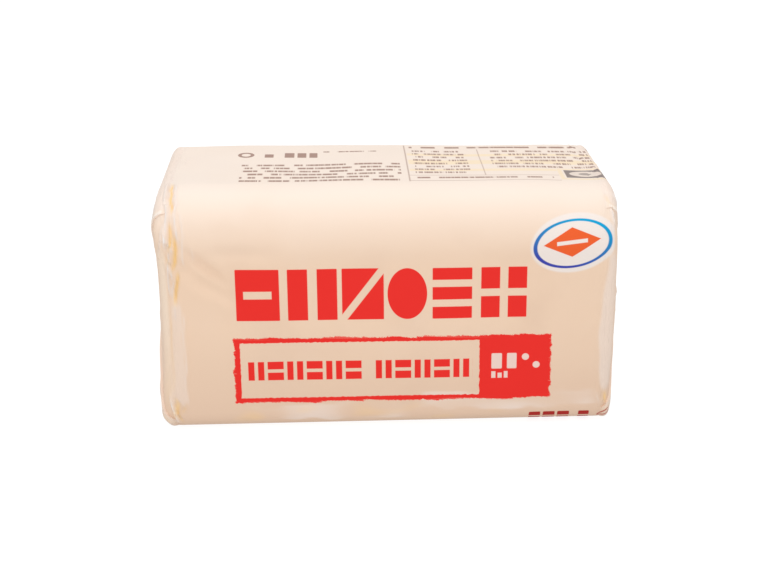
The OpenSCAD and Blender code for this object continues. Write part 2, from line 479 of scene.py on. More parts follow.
    def bake_map(self, mesh: bpy.types.Mesh, on: Surface) -> None:
        """Give the skin its two UV maps: distances on the wrapper, and a sheet on which no faces overlap.

        Args:
            mesh: The skin, whose vertices still match the surface.
            on: Where they lie on the wrapper.
        """
        b = self.brick
        loops = np.empty(len(mesh.loops), dtype=np.int32)
        mesh.loops.foreach_get("vertex_index", loops)
        starts = np.empty(len(mesh.polygons), dtype=np.int32)
        mesh.polygons.foreach_get("loop_start", starts)
        middles = on.cube[loops.reshape(-1, 4)].mean(axis=1)
        facing = np.abs(middles).argmax(axis=1)
        plus = np.take_along_axis(middles, facing[:, None], axis=1)[:, 0] > 0
        face_of = np.repeat(np.arange(len(facing)), 4)
        kind, upper = facing[face_of], plus[face_of]
        cube = on.cube[loops]
        under = (kind == 2) & ~upper
        around = b.measure_around(cube[:, 1], cube[:, 2], under)
        along = on.along[loops]
        end = kind == 0
        flat_y, flat_z = cube[:, 1] * b.half_d, (cube[:, 2] + 1) * b.height / 2
        # On the ends the distances carry on far from the print
        u = np.where(end, np.where(upper, 200.0, -200.0) + flat_y, along)
        v = np.where(end, flat_z, around)
        wrap = mesh.uv_layers.new(name="Wrap")
        wrap.data.foreach_set("uv", np.stack([u, v], axis=1).ravel().astype(np.float32))
        # The sheet: front and top, then back and underside beside them, then the two ends above
        gap, roof, strip_start = 3.0, 118.0, 100.0
        wide = 2 * (b.rim_x + b.arc / 2)
        back = (kind == 1) & upper
        lower = back | under
        back_foot = b.measure_around(np.array([1.0]), np.array([-1.0]), np.array([False]))[0]
        under_far = b.measure_around(np.array([1.0]), np.array([-1.0]), np.array([True]))[0]
        strip_v = np.where(under, around - under_far + (back_foot - strip_start), around)
        strip_v = np.where(back, around - strip_start, strip_v)
        s = np.where(lower, wide + gap, 0.0) + along + wide / 2 + gap
        t = strip_v + gap
        s = np.where(end, np.where(upper, b.half_d * 2 + 2 * gap, gap) + flat_y + b.half_d, s)
        t = np.where(end, roof + gap + flat_z, t)
        sheet = mesh.uv_layers.new(name="OFBake")
        scale = 1.0 / (2 * wide + 3 * gap)
        sheet.data.foreach_set("uv", (np.stack([s, t + gap], axis=1) * scale).ravel().astype(np.float32))

    def build(self) -> bpy.types.Object:
        """Make the skin.

        Returns:
            The piece.
        """
        bm = self.brick.skin()
        mesh = bpy.data.meshes.new("wrapper_skin")
        bm.to_mesh(mesh)
        bm.free()
        cube = np.empty(len(mesh.vertices) * 3, dtype=np.float32)
        mesh.vertices.foreach_get("co", cube)
        points, on = self.brick.place(cube.reshape(-1, 3).astype(np.float64))
        lift, air, pearl, yellow = self.relief(points, on)
        write_points(mesh, points)
        points = points + normals_of(mesh) * lift[:, None]
        fall = 1 - self.brick.top_fall / self.brick.height * (points[:, 0] / (2 * self.brick.half_l) + 0.5)
        points[:, 2] = np.maximum(points[:, 2], 0.0) * fall
        write_points(mesh, points)
        rim = np.abs(on.along) - self.brick.rim_x
        for name, values in (("air", air), ("pearl", pearl), ("yellow", yellow), ("inward", rim)):
            layer = mesh.attributes.new(name, "FLOAT", "POINT")
            layer.data.foreach_set("value", values.astype(np.float32))
        self.bake_map(mesh, on)
        mesh.shade_smooth()
        piece = bpy.data.objects.new("wrapper_skin", mesh)
        bpy.context.scene.collection.objects.link(piece)
        return piece


def write_points(mesh: bpy.types.Mesh, points: np.ndarray) -> None:
    """Put a mesh's vertices at points given in millimetres."""
    mesh.vertices.foreach_set("co", (points * MM).ravel().astype(np.float32))
    mesh.update()


def normals_of(mesh: bpy.types.Mesh) -> np.ndarray:
    """Outward direction at each vertex."""
    values = np.empty(len(mesh.vertices) * 3, dtype=np.float32)
    mesh.vertex_normals.foreach_get("vector", values)
    return values.reshape(-1, 3).astype(np.float64)


@dataclass(frozen=True)
class Cut:
    """A straight edge of a folded ply, as a line across the end of the block.

    Attributes:
        y: Y of a point on it.
        z: Z of that point.
        away: Direction across the edge, out of the ply, in degrees from +Y towards +Z.
        free: True for an edge that can lift, false for a fold.
    """

    y: float
    z: float
    away: float
    free: bool = True

    @property
    def out(self) -> tuple[float, float]:
        """The direction out of the ply, as Y and Z."""
        angle = math.radians(self.away)
        return math.cos(angle), math.sin(angle)

    def depth(self, y: float, z: float) -> float:
        """How far inside the edge a point is."""
        return -(y - self.y) * self.out[0] - (z - self.z) * self.out[1]


@dataclass(frozen=True)
class Ply:
    """One layer of the wrapper that is folded over an end.

    Attributes:
        name: Name of the piece.
        lift: How far it stands off the end, in millimetres.
        air: How much it stands off the butter, from 0 to 1.
        pearl: How pearly it looks, from 0 to 1.
        cuts: Its edges.
        curl: How far its free edges rise above the rest.
        carry: How far in from the rim the looks of the long walls carry on over it.
    """

    name: str
    lift: float
    air: float
    pearl: float
    cuts: tuple[Cut, ...]
    curl: float = 0.22
    carry: float = 0.0


@dataclass
class Folds:
    """The plies over both ends and the lap under the block."""

    wrapper: Wrapper
    skin: bpy.types.Object
    thickness: float = 0.12
    tuck_w: float = 22.0
    top_flap_l: float = 23.0
    bottom_flap_l: float = 25.0
    slant: float = 48.0
    lap_y: float = 10.1

    def plies(self, end: End) -> tuple[Ply, ...]:
        """The four layers over one end, innermost first."""
        b = self.wrapper.brick
        tall = b.height
        side = end.name.lower()
        return (
            Ply(f"{side}_front_tuck", 0.16, 0.12, 0.05, (Cut(self.tuck_w - b.half_d, 0, 0),), carry=3.0),
            Ply(f"{side}_back_tuck", 0.16, 0.12, 0.05, (Cut(b.half_d - self.tuck_w, 0, 180),), carry=3.0),
            Ply(f"{side}_top_flap", 0.50, 0.55, 0.70, (
                Cut(-23.3, tall - 4.4, 270 - self.slant, free=False),
                Cut(b.half_d - 1.2, tall - 5.4, 270 + self.slant, free=False),
                Cut(0, tall - self.top_flap_l, 270))),
            Ply(f"{side}_bottom_flap", 0.74, 0.50, 0.45, (
                Cut(1.0 - b.half_d, 4.2, 90 + self.slant, free=False),
                Cut(b.half_d - 1.0, 4.2, 90 - self.slant, free=False),
                Cut(0, self.bottom_flap_l, 90))),
        )

    def cut_out(self, keep: Sequence[tuple[Vector, Vector]]) -> bmesh.types.BMesh:
        """Copy the part of the skin that is behind every given plane.

        Args:
            keep: Planes as a point and a direction out of the wanted part, in millimetres.

        Returns:
            The cut copy.
        """
        bm = bmesh.new()
        bm.from_mesh(self.skin.data)
        for point, out in keep:
            bmesh.ops.bisect_plane(bm, geom=bm.verts[:] + bm.edges[:] + bm.faces[:], dist=1e-6,
                                   plane_co=point * MM, plane_no=out, clear_outer=True)
        return bm

    def thicken(self, bm: bmesh.types.BMesh, name: str, thickness: float) -> bpy.types.Object:
        """Give a cut sheet its thickness and make it a piece.

        Args:
            bm: The sheet, which is freed.
            name: Name of the piece.
            thickness: Thickness in millimetres, down to what the sheet lies on.

        Returns:
            The piece.
        """
        bmesh.ops.remove_doubles(bm, verts=bm.verts[:], dist=0.06 * MM)
        bmesh.ops.dissolve_degenerate(bm, edges=bm.edges[:], dist=0.01 * MM)
        bm.normal_update()
        inwards = {tuple(v.co): -v.normal for v in bm.verts}
        made = bmesh.ops.extrude_face_region(bm, geom=bm.faces[:], use_keep_orig=True)
        for vert in (g for g in made["geom"] if isinstance(g, bmesh.types.BMVert)):
            vert.co += inwards[tuple(vert.co)] * thickness * MM
        for vert in bm.verts:
            vert.co.z = max(vert.co.z, 0.0)
        bmesh.ops.recalc_face_normals(bm, faces=bm.faces[:])
        mesh = bpy.data.meshes.new(name)
        bm.to_mesh(mesh)
        bm.free()
        mesh.uv_layers.remove(mesh.uv_layers["OFBake"])
        mesh.shade_smooth()
        mesh.set_sharp_from_angle(angle=math.radians(50))
        piece = bpy.data.objects.new(name, mesh)
        bpy.context.scene.collection.objects.link(piece)
        return piece

    def crinkles(self, ply: Ply, seed: int) -> list[Crinkle]:
        """Fine straight folds over a ply.

        Args:
            ply: The ply.
            seed: Tells one ply's folds from another's.

        Returns:
            Each fold's two ends as Y and Z, its height and its half width.
        """
        b = self.wrapper.brick
        rng = np.random.default_rng(seed * 13 + 5)
        made = []
        for _ in range(9):
            if "flap" in ply.name:
                top = "top" in ply.name
                start = (rng.uniform(-20, 20), b.height - 3.0 if top else 3.0)
                angle = math.radians(rng.normal(-90 if top else 90, 24))
            else:
                start = (rng.uniform(19, 26) * (-1 if "front" in ply.name else 1), rng.uniform(8, b.height - 12))
                angle = math.radians(rng.normal(0 if "front" in ply.name else 180, 40))
            reach = rng.uniform(6, 18)
            end = (start[0] + reach * math.cos(angle), start[1] + reach * math.sin(angle))
            made.append((start, end, float(rng.choice((-0.16, 0.14, 0.22))), float(rng.uniform(0.55, 1.3))))
        return made

    def fold(self, end: End, ply: Ply) -> bpy.types.Object:
        """Make one ply.

        Args:
            end: The end that it covers.
            ply: Its shape.

        Returns:
            The piece.
        """
        b = self.wrapper.brick
        planes = [(Vector((end.value * (b.rim_x + 0.6), 0, 0)), Vector((-end.value, 0, 0)))]
        for cut in ply.cuts:
            y, z = cut.out
            planes.append((Vector((0, cut.y, cut.z)), Vector((0, y, z))))
        bm = self.cut_out(planes)
        inward, air, pearl, yellow = (bm.verts.layers.float[name] for name in ("inward", "air", "pearl", "yellow"))
        bm.normal_update()
        normals = [v.normal.copy() for v in bm.verts]
        seed = len(ply.name) + end.value
        folds = self.crinkles(ply, seed)
        for vert, normal in zip(bm.verts, normals):
            y, z = vert.co.y / MM, vert.co.z / MM
            ramp = max(0.0, min(1.0, (vert[inward] - 0.3) / 1.9))
            ramp = ramp * ramp * (3 - 2 * ramp)
            free, hinge = (min((c.depth(y, z) for c in ply.cuts if c.free is kind), default=9.0)
                           for kind in (True, False))
            wave = 0.5 + 0.5 * math.sin(y * 0.41 + seed) * math.cos(z * 0.33 - seed)
            up = (ply.lift + ply.curl * wave * math.exp(-free / 2.2)) * ramp - 0.10 * (1 - ramp)
            shine = 0.0
            for (ay, az), (by, bz), height, width in folds:
                run_y, run_z = by - ay, bz - az
                share = max(0.0, min(1.0, ((y - ay) * run_y + (z - az) * run_z) / (run_y ** 2 + run_z ** 2)))
                off = math.hypot(y - ay - share * run_y, z - az - share * run_z)
                bump = math.exp(-(off / width) ** 2) * math.sin(math.pi * min(0.97, share + 0.03)) ** 0.5
                up += height * bump * ramp
                shine = max(shine, bump if height > 0 else 0.0)
            vert.co += normal * up * MM
            # The long walls' looks give way to the ply's own
            own = max(0.0, min(ramp, (vert[inward] - ply.carry) / 1.9))
            # Painted highlights: a pale line along each folded hem and on each raised crinkle, through the pearl share
            hem_highlight = 0.35 * math.exp(-((hinge - 0.5) / 0.5) ** 2)
            yellow_hem = 0.3 * math.exp(-((hinge - 0.8) / 0.6) ** 2) * (0.5 + 0.5 * math.sin(0.8 * y + 1.1 * z))
            for layer, value in ((air, ply.air), (pearl, min(1.0, ply.pearl + 0.3 * shine + hem_highlight)),
                                 (yellow, yellow_hem)):
                vert[layer] = vert[layer] * (1 - own) + own * value
        return self.thicken(bm, ply.name, ply.lift + self.thickness)

    def lap(self) -> bpy.types.Object:
        """Make the strip of wrapper that laps over the underside."""
        b = self.wrapper.brick
        bm = self.cut_out([
            (Vector((0, self.lap_y, 0)), Vector((0, -1, 0))),
            (Vector((0, 0, 0.9)), Vector((0, 0, 1))),
            (Vector((b.rim_x + 1.0, 0, 0)), Vector((1, 0, 0))),
            (Vector((-b.rim_x - 1.0, 0, 0)), Vector((-1, 0, 0))),
        ])
        for vert in bm.verts:
            y, x = vert.co.y / MM, abs(vert.co.x) / MM
            drop = max(0.0, min(1.0, (b.half_d - 1.6 - y) / 3.0)) * max(0.0, min(1.0, (b.rim_x + 1.0 - x) / 2.5))
            vert.co.z = max(vert.co.z - 0.30 * drop * MM, self.thickness * 0.5 * MM) if drop > 0 else vert.co.z
        return self.thicken(bm, "underside_lap", self.thickness)

    def build(self) -> list[bpy.types.Object]:
        """Make every ply and the lap."""
        made = [self.fold(end, ply) for end in End for ply in self.plies(end)]
        made.append(self.lap())
        return made


class Wires:
    """Adds nodes to one shader tree and works with their values as plain arithmetic."""

    def __init__(self, tree: bpy.types.NodeTree) -> None:
        """Start on a tree."""
        self.tree = tree

    def node(self, kind: str, **settings: object) -> bpy.types.Node:
        """Add a node and set its properties."""
        made = self.tree.nodes.new(kind)
        for name, value in settings.items():
            setattr(made, name, value)
        return made

    def feed(self, socket: bpy.types.NodeSocket, value: "Value | float | Sequence[float]") -> None:
        """Link a value to a socket, or set a plain number on it."""
        if isinstance(value, Value):
            self.tree.links.new(value.socket, socket)
        else:
            socket.default_value = value

    def math(self, operation: str, *values: "Value | float", clamp: bool = False) -> "Value":
        """Add a maths node."""
        made = self.node("ShaderNodeMath", operation=operation, use_clamp=clamp)
        for socket, value in zip(made.inputs, values):
            self.feed(socket, value)
        return Value(self, made.outputs[0])

    def mix(self, share: "Value | float", low: "Value | Sequence[float]", high: "Value | Sequence[float]",
            blend: str = "MIX") -> "Value":
        """Add a colour mix node."""
        made = self.node("ShaderNodeMix", data_type="RGBA", blend_type=blend)
        self.feed(made.inputs["Factor"], share)
        self.feed(made.inputs[6], low)
        self.feed(made.inputs[7], high)
        return Value(self, made.outputs[2])

    def noise(self, scale: float, detail: float, where: "Value | None" = None, line: "Value | None" = None) -> "Value":
        """Add a noise texture over places, or along one value."""
        made = self.node("ShaderNodeTexNoise", noise_dimensions="1D" if line is not None else "3D")
        made.inputs["Scale"].default_value = scale
        made.inputs["Detail"].default_value = detail
        if where is not None:
            self.feed(made.inputs["Vector"], where)
        if line is not None:
            self.feed(made.inputs["W"], line)
        return Value(self, made.outputs["Fac"])

    def ink(self, distance: "Value", soft: float = 0.16) -> "Value":
        """Turn a distance from a shape's edge into full inside and nothing outside."""
        return self.math("MULTIPLY_ADD", distance, -1 / soft, 0.5, clamp=True)

    def bar(self, u: "Value", v: "Value", left: float, right: float, low: float, high: float,
            r: float = 0.0) -> "Value":
        """Distance from an upright rectangle, whose corners may be rounded."""
        across = abs(u - (left + right) / 2) - (right - left) / 2
        up = abs(v - (low + high) / 2) - (high - low) / 2
        if r:
            return self.math("SMOOTH_MAX", across, up, r)
        return self.math("MAXIMUM", across, up)

    def any_of(self, values: "Sequence[Value]") -> "Value":
        """The largest of several values."""
        return functools.reduce(lambda total, value: self.math("MAXIMUM", total, value), values)

    def either(self, values: "Sequence[Value]") -> "Value":
        """The smallest of several distances."""
        return functools.reduce(lambda total, value: self.math("MINIMUM", total, value), values)


class Value:
    """A number or colour worked out by nodes."""

    def __init__(self, wires: Wires, socket: bpy.types.NodeSocket) -> None:
        """Stand for one output socket."""
        self.wires = wires
        self.socket = socket

    def __add__(self, other: "Value | float") -> "Value":
        """Sum."""
        return self.wires.math("ADD", self, other)

    def __sub__(self, other: "Value | float") -> "Value":
        """Difference."""
        return self.wires.math("SUBTRACT", self, other)

    def __rsub__(self, other: float) -> "Value":
        """Difference from a number."""
        return self.wires.math("SUBTRACT", other, self)

    def __mul__(self, other: "Value | float") -> "Value":
        """Product."""
        return self.wires.math("MULTIPLY", self, other)

    def __abs__(self) -> "Value":
        """Size without the sign."""
        return self.wires.math("ABSOLUTE", self)


@dataclass(frozen=True)
class Inks:
    """The wrapper's colours."""

    contact: Colour = (0.88, 0.650, 0.480)
    # A duller tone for random smudges, and also the painted shade towards the foot of the walls
    dull_and_foot_shade: Colour = (0.765, 0.548, 0.405)
    # Where the film stands off the butter; on the top it is also painted light
    air: Colour = (0.90, 0.785, 0.695)
    pearl: Colour = (0.885, 0.755, 0.672)
    # A painted highlight
    glint: Colour = (0.94, 0.885, 0.85)
    yellow: Colour = (0.98, 0.64, 0.24)
    red: Colour = (0.86, 0.028, 0.021)
    deep_red: Colour = (0.42, 0.02, 0.015)
    brown: Colour = (0.40, 0.26, 0.21)
    stripe: Colour = (0.93, 0.745, 0.48)
    stamp: Colour = (0.17, 0.13, 0.125)
    badge: Colour = (0.88, 0.80, 0.755)
    orange: Colour = (0.87, 0.12, 0.025)
    blue_light: Colour = (0.0, 0.36, 0.66)
    blue_dark: Colour = (0.045, 0.06, 0.40)
    pale: Colour = (0.88, 0.66, 0.58)


@dataclass(frozen=True)
class Film:
    """How the wrapper's surface takes light, and how deep its finest crinkles are in metres."""

    roughness: float = 0.48
    specular: float = 0.12
    coat: float = 0.03
    coat_roughness: float = 0.22
    bump: float = 0.5
    bump_depth: float = 0.0006


def solid(colour: Colour) -> tuple[float, float, float, float]:
    """A colour with its alpha."""
    return (*colour, 1.0)


def grey(value: float) -> tuple[float, float, float, float]:
    """A grey with its alpha."""
    return solid((value, value, value))


class PrintShop:
    """Makes the node groups that say where each ink lies and the material that shows them."""

    def __init__(self, inks: Inks, film: Film) -> None:
        """Take the colours and the film's finish."""
        self.inks = inks
        self.film = film

    def group(self, name: str, inputs: Sequence[str], outputs: Sequence[str],
              draw: Callable[[Wires, list[Value]], Sequence[Value]]) -> bpy.types.NodeTree:
        """Make a node group from plain values to plain values.

        Args:
            name: Name of the group.
            inputs: Names of its inputs.
            outputs: Names of its outputs.
            draw: Works out the outputs from the inputs.

        Returns:
            The group.
        """
        tree = bpy.data.node_groups.new(name, "ShaderNodeTree")
        for entry in inputs:
            tree.interface.new_socket(entry, in_out="INPUT", socket_type="NodeSocketFloat")
        for entry in outputs:
            tree.interface.new_socket(entry, in_out="OUTPUT", socket_type="NodeSocketFloat")
        wires = Wires(tree)
        start, end = wires.node("NodeGroupInput"), wires.node("NodeGroupOutput")
        results = draw(wires, [Value(wires, start.outputs[k]) for k in range(len(inputs))])
        for socket, value in zip(end.inputs, results):
            wires.feed(socket, value)
        return tree

    def use(self, wires: Wires, tree: bpy.types.NodeTree, *values: Value) -> list[Value]:
        """Put a group into a tree and feed it."""
        made = wires.node("ShaderNodeGroup", node_tree=tree)
        for socket, value in zip(made.inputs, values):
            wires.feed(socket, value)
        return [Value(wires, out) for out in made.outputs]

    @staticmethod
    def tiles(w: Wires, at: list[Value]) -> list[Value]:
        """Six bold tiles over a brushed frame with a row of small marks and a filled square."""
        u, v = at
        slow = w.noise(0.13, 1.0, line=u + v * 2.3) - 0.5
        rough = (w.noise(0.95, 2.0, line=u + v * 0.9) - 0.5) * 0.9
        rough = rough + (w.noise(4.2, 2.0, line=u - v * 1.1) - 0.5) * 1.1 + slow * 2.6
        low, high = 28.0, 40.8
        spans = ((-35.8, -25.6), (-23.7, -12.1), (-11.0, -1.2), (-0.2, 8.8), (10.2, 19.5), (21.6, 32.4))
        middles = [(a + b) / 2 for a, b in spans]
        tiles = [w.bar(u, v, a, b, low, high, 0.35) for a, b in spans]
        mid = 34.4
        tiles[3] = w.math("SQRT", (u - middles[3]) * (u - middles[3]) * 1.9 + (v - mid) * (v - mid)) - 6.4
        red = w.either(tiles)
        slits = [
            w.bar(u, v, -34.0, -27.4, mid - 0.95, mid + 0.95),
            w.bar(u, v, middles[1] - 1.1, middles[1] + 1.1, low - 1, high + 1),
            w.math("MAXIMUM", abs((u - middles[2]) * 0.8 - (v - mid) * 0.6) - 0.85, abs(u - middles[2]) - 5.4),
            w.bar(u, v, 9.6, 20.2, mid + 1.6, mid + 3.4),
            w.bar(u, v, 9.6, 20.2, mid - 3.4, mid - 1.6),
            w.bar(u, v, middles[5] - 0.95, middles[5] + 0.95, low - 1, high + 1),
            w.bar(u, v, 21.0, 33.0, mid - 0.95, mid + 0.95),
        ]
        big = w.ink(red) * w.ink(w.either(slits) * -1.0)
        outer = w.bar(u, v, -36.8, 38.5, 6.9, 23.5, 0.2) + rough * 0.55
        inner = w.bar(u, v, -35.3, 21.4, 8.1, 22.3, 0.2) + (w.noise(1.1, 1.0, line=u - v * 0.7) - 0.5) * 0.35
        frame = w.ink(outer) * w.ink(inner * -1.0)
        from_edge = abs(w.bar(u, v, -36.8, 38.5, 6.9, 23.5))
        streak = w.ink(w.noise(1.4, 2.0, line=u * 0.22 + v * 5.0) - 0.36 + from_edge * 0.25, 0.08)
        frame = frame * (1.0 - streak * 0.8)
        # The small marks: six, a gap, then five
        pitch = 4.62
        run = u + 33.6 - w.math("GREATER_THAN", u, -5.0) * 2.55
        step = w.math("WRAP", run, pitch, 0.0)
        block = w.math("MAXIMUM", abs(step - 1.95) - 1.9, abs(v - 15.1) - 2.4)
        odd = w.math("LESS_THAN", w.math("WRAP", run, pitch * 2, 0.0), pitch)
        level = abs(v - 15.1) - 0.42
        upright = abs(step - 1.95) - 0.42
        slit = w.math("MINIMUM", level + odd * 9.0, upright + (1.0 - odd) * 9.0)
        row = w.ink(block) * w.ink(slit * -1.0) * w.ink(w.bar(u, v, -34.0, 19.8, 12, 18.2))
        row = row * w.ink(w.bar(u, v, -6.3, -3.6, 12, 18.2) * -1.0)
        pale = w.either([
            w.bar(u, v, 24.3, 26.8, 14.7, 18.7, 0.5), w.bar(u, v, 28.0, 30.3, 14.7, 18.7, 0.5),
            w.math("SQRT", (u - 32.4) * (u - 32.4) + (v - 17.7) * (v - 17.7)) - 0.85,
            w.math("SQRT", (u - 35.0) * (u - 35.0) + (v - 15.6) * (v - 15.6)) - 0.85,
            w.bar(u, v, 24.3, 25.3, 12.3, 14.0), w.bar(u, v, 25.8, 26.8, 12.3, 13.6),
            w.bar(u, v, 27.3, 28.2, 12.3, 14.0),
        ])
        return [w.any_of([big, frame, row]), w.ink(pale)]

    @staticmethod
    def oval(w: Wires, at: list[Value]) -> list[Value]:
        """A pale oval field, a thin ring in it and a plain lozenge."""
        u, v = at
        x, y = u - 43.3, v - 46.5
        tilt = x * 0.12
        field = w.math("SQRT", x * x * 0.50 + (y - tilt) * (y - tilt)) - 7.2
        ring = abs(w.math("SQRT", (x + 0.3) * (x + 0.3) * 0.40 + (y - tilt + 0.2) * (y - tilt + 0.2)) - 5.6) - 0.30
        lozenge = abs(x + 0.5) * 0.52 + abs(y - tilt - 0.2) - 3.5
        slot = w.math("MAXIMUM", abs(x + 0.5) - 3.6, abs(y - tilt - 0.2) - 0.45)
        shade = w.math("MULTIPLY_ADD", y + x * 0.25, 0.085, 0.5, clamp=True)
        return [w.ink(field, 0.5), w.ink(ring), w.ink(lozenge) * w.ink(slot * -1.0), shade]

    @staticmethod
    def words(w: Wires, u: Value, v: Value, left: float, right: float, low: float, high: float,
              rows: int, seed: float, bold: float = 0.5) -> Value:
        """Rows of uneven dashes in place of small print.

        Args:
            w: The tree to draw in.
            u: Distance along the wrapper.
            v: Distance round it.
            left: Where the rows start.
            right: Where they end.
            low: Foot of the lowest row.
            high: Top of the highest row.
            rows: How many rows.
            seed: Tells one block of rows from another.
            bold: How full the rows are.

        Returns:
            The share of ink.
        """
        pitch = (high - low) / rows
        line = w.math("FLOOR", (v - low) * (1 / pitch))
        within = abs(w.math("WRAP", v - low, pitch, 0.0) - pitch / 2) - pitch * 0.25
        gaps = w.noise(0.33, 0.0, line=u + line * 37.7 + seed)
        fine = w.noise(2.1, 1.0, line=u + line * 19.3 + seed)
        spaced = w.math("MULTIPLY_ADD", gaps, 14.0, -5.2, clamp=True)
        spaced = spaced * w.math("MULTIPLY_ADD", fine, 5.0, bold - 2.0, clamp=True)
        return spaced * w.ink(within, 0.3) * w.ink(w.bar(u, v, left, right, low, high))

    @classmethod
    def small_print(cls, w: Wires, at: list[Value]) -> list[Value]:
        """The top's rows of dashes, simple marks, table and stamp."""
        u, v = at
        y = v - 78.7
        text = [
            cls.words(w, u, y, -35.0, 4.0, -13.4, 3.7, 6, 3.0, 0.7),
            cls.words(w, u, y, -14.9, -0.6, 13.8, 15.8, 1, 11.0),
            cls.words(w, u, y, 7.5, 40.5, -11.4, -9.0, 1, 5.0, 0.9),
            cls.words(w, u, y, 7.5, 21.0, -7.0, 16.5, 8, 17.0, 0.3),
            cls.words(w, u, y, 27.0, 52.0, -2.0, 16.5, 6, 23.0, 0.3),
            cls.words(w, u, y, 7.0, 53.0, 17.5, 20.6, 1, 29.0, 1.4),
        ]
        marks = [w.bar(u, y, a, b, 9.4, 13.8, 0.4) for a, b in ((-24.6, -22.2), (-21.4, -19.2), (-18.4, -16.4))]
        marks.append(w.bar(u, y, -29.6, -27.4, 9.4, 12.4, 0.4))
        marks.append(abs(w.math("SQRT", (u + 34.3) * (u + 34.3) + (y - 11.6) * (y - 11.6) * 0.8) - 1.6) - 0.45)
        weight = w.ink(w.either(marks))
        lines = w.either([
            w.bar(u, y, 5.6, 5.9, -13.3, 21.0), w.bar(u, y, 5.6, 42.0, -12.9, -12.6),
            w.bar(u, y, 5.6, 42.0, -8.3, -8.05), w.bar(u, y, 24.2, 24.4, -8.2, 17.0),
        ])
        stripes = w.either([
            w.bar(u, y, 6.2, 54.0, 10.2, 12.3), w.bar(u, y, 6.2, 54.0, 2.3, 6.2),
            w.bar(u, y, 6.2, 42.0, -4.3, -2.3), abs(w.bar(u, y, 42.7, 54.3, -11.3, -2.4)) - 0.5,
        ])
        stamp = w.bar(u, y, 43.7, 53.3, -10.2, -3.3)
        from_seal = w.math("SQRT", (u - 48.5) * (u - 48.5) * 0.42 + (y + 6.7) * (y + 6.7))
        seal = w.ink(stamp) * (1.0 - w.ink(from_seal - 2.45) * 0.85 + w.ink(from_seal - 1.0) * 0.6)
        brown = w.any_of(text + [weight * 1.1, w.ink(lines, 0.25) * 0.75])
        return [brown, w.ink(stripes, 0.3), seal]

    @classmethod
    def foot_print(cls, w: Wires, at: list[Value]) -> list[Value]:
        """Bars low on the front and rows of dashes under the block."""
        u, v = at
        spans = ((33.6, 36.4), (37.0, 39.9), (40.5, 43.4), (45.6, 48.2))
        bars = w.either([w.bar(u, v, a, b, -1.2, 2.9, 0.5) for a, b in spans])
        slit = w.bar(u, v, 33.0, 49.0, 0.8, 1.4)
        corner = w.either([w.math("MAXIMUM", abs((u - 51.6) * 0.55 - (v - 2.1)) - 0.22, abs(u - 51.7) - 1.5),
                           w.math("MAXIMUM", abs(v - 1.0) - 0.20, abs(u - 51.7) - 1.5),
                           w.math("MAXIMUM", abs(u - 53.0) - 0.20, abs(v - 1.9) - 1.0)])
        deep = w.any_of([w.ink(bars) * w.ink(slit * -1.0), w.ink(corner) * 0.8])
        under = cls.words(w, u, v, -44.0, 44.0, -27.0, -9.0, 7, 41.0, 0.6)
        return [deep, under]

    def material(self) -> bpy.types.Material:
        """The printed film over butter."""
        made = bpy.data.materials.new("printed_wrapper")
        made.use_nodes = True
        tree = made.node_tree
        tree.nodes.clear()
        w = Wires(tree)
        out = w.node("ShaderNodeOutputMaterial")
        surface = w.node("ShaderNodeBsdfPrincipled")
        tree.links.new(surface.outputs[0], out.inputs[0])
        sheet = w.node("ShaderNodeUVMap", uv_map="Wrap")
        parts = w.node("ShaderNodeSeparateXYZ")
        tree.links.new(sheet.outputs[0], parts.inputs[0])
        u, v = Value(w, parts.outputs[0]), Value(w, parts.outputs[1])
        behind = w.math("GREATER_THAN", v, 104.0)
        turned_u = u * (1.0 - behind * 2.0)
        turned_v = v + behind * (160.8 - v * 2.0)
        place = Value(w, w.node("ShaderNodeTexCoord").outputs["Object"])
        reds, marks = self.use(
            w, self.group("bold_tiles", ("U", "V"), ("Red", "Pale"), self.tiles), turned_u, turned_v)
        field, ring, lozenge, shade = self.use(
            w, self.group("oval_badge", ("U", "V"), ("Field", "Ring", "Lozenge", "Shade"), self.oval),
            turned_u, turned_v)
        brown, stripes, seal = self.use(
            w, self.group("small_print", ("U", "V"), ("Brown", "Stripe", "Seal"), self.small_print), u, v)
        deep, under = self.use(w, self.group("foot_print", ("U", "V"), ("Deep", "Under"), self.foot_print), u, v)
        air, pearl, yellow = (Value(w, w.node("ShaderNodeAttribute", attribute_name=name).outputs["Fac"])
                              for name in ("air", "pearl", "yellow"))
        cloud = w.noise(38.0, 3.0, where=place)
        blotch = w.noise(120.0, 2.0, where=place)
        # The air share also paints the top paler, as painted light from above
        air_share = w.math("MULTIPLY_ADD", cloud - 0.5, 0.22, air, clamp=True)
        colour = w.mix(air_share, solid(self.inks.contact), solid(self.inks.air))
        colour = w.mix(w.math("MULTIPLY_ADD", blotch, 3.0, -1.75, clamp=True) * 0.12, colour, solid(self.inks.air))
        smudge = w.math("MULTIPLY_ADD", w.noise(52.0, 3.0, where=place), 4.0, -2.1, clamp=True) * (1.0 - air_share)
        colour = w.mix(smudge * 0.45, colour, solid(self.inks.dull_and_foot_shade))
        # Painted shade: the walls are mixed towards the dull ink, darker towards their foot
        foot = w.math("MULTIPLY_ADD", turned_v, -0.038, 1.0, clamp=True) * w.math("GREATER_THAN", turned_v, -6.0)
        colour = w.mix(foot * 0.80, colour, solid(self.inks.dull_and_foot_shade))
        slack = w.math("MULTIPLY_ADD", cloud - 0.5, 0.7, pearl, clamp=True)
        slack = slack * w.math("MULTIPLY", pearl, 2.2, clamp=True)
        colour = w.mix(slack * 0.9, colour, solid(self.inks.pearl))
